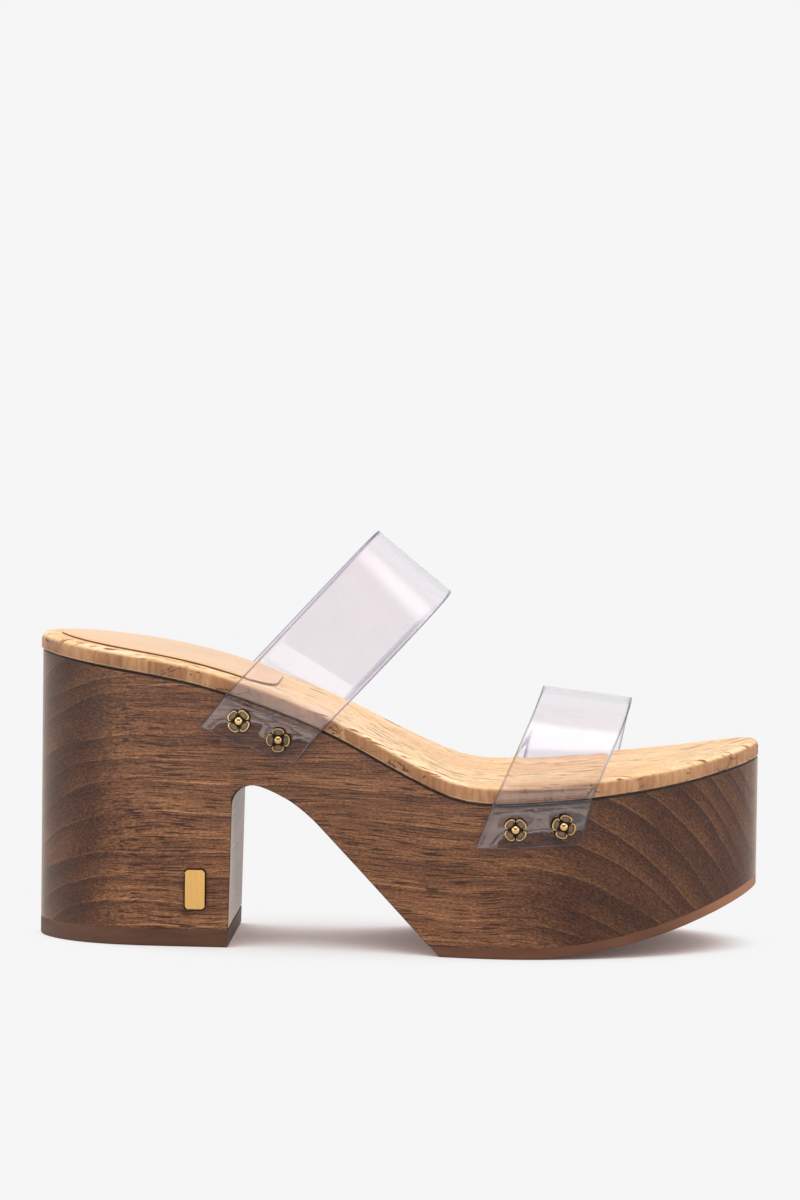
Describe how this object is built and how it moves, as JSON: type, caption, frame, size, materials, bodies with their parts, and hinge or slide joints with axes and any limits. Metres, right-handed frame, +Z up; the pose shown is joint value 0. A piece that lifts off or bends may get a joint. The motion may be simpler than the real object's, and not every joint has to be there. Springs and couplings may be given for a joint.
{
  "type": "platform sandal",
  "caption": "Right-foot slide sandal on a one-piece wooden platform with a block heel and cut-out arch, a cork footbed with a leather heel pad, and clear straps nailed to the wood.",
  "frame": {"origin": "on the floor, midway between the heel's back and the toe's tip and midway across the nail heads", "axes": "+X from heel to toe, +Y to the inner side of the foot, +Z up"},
  "size_m": [0.233, 0.096, 0.1333],
  "materials": {
    "wood": "walnut stain, satin",
    "heel_rubber": "brown, matt",
    "outsole_rubber": "tan, matt",
    "cork": "natural cork sheet, matt",
    "leather": "smooth, peach",
    "clear_sheet": "clear soft PVC sheet",
    "stud_brass": "antiqued",
    "plate_gold": "polished gold plate"
  },
  "bodies": {
    "root": {"platform": "wood", "heel_lift": "heel_rubber", "forefoot_outsole": "outsole_rubber", "footbed": "cork", "heel_pad": "leather", "instep_strap": "clear_sheet", "toe_strap": "clear_sheet", "stud_instep_outer_back": "stud_brass", "stud_instep_outer_front": "stud_brass", "stud_instep_inner_back": "stud_brass", "stud_instep_inner_front": "stud_brass", "stud_toe_outer_back": "stud_brass", "stud_toe_outer_front": "stud_brass", "stud_toe_inner_back": "stud_brass", "stud_toe_inner_front": "stud_brass", "heel_plate": "plate_gold"}
  },
  "joints": []
}
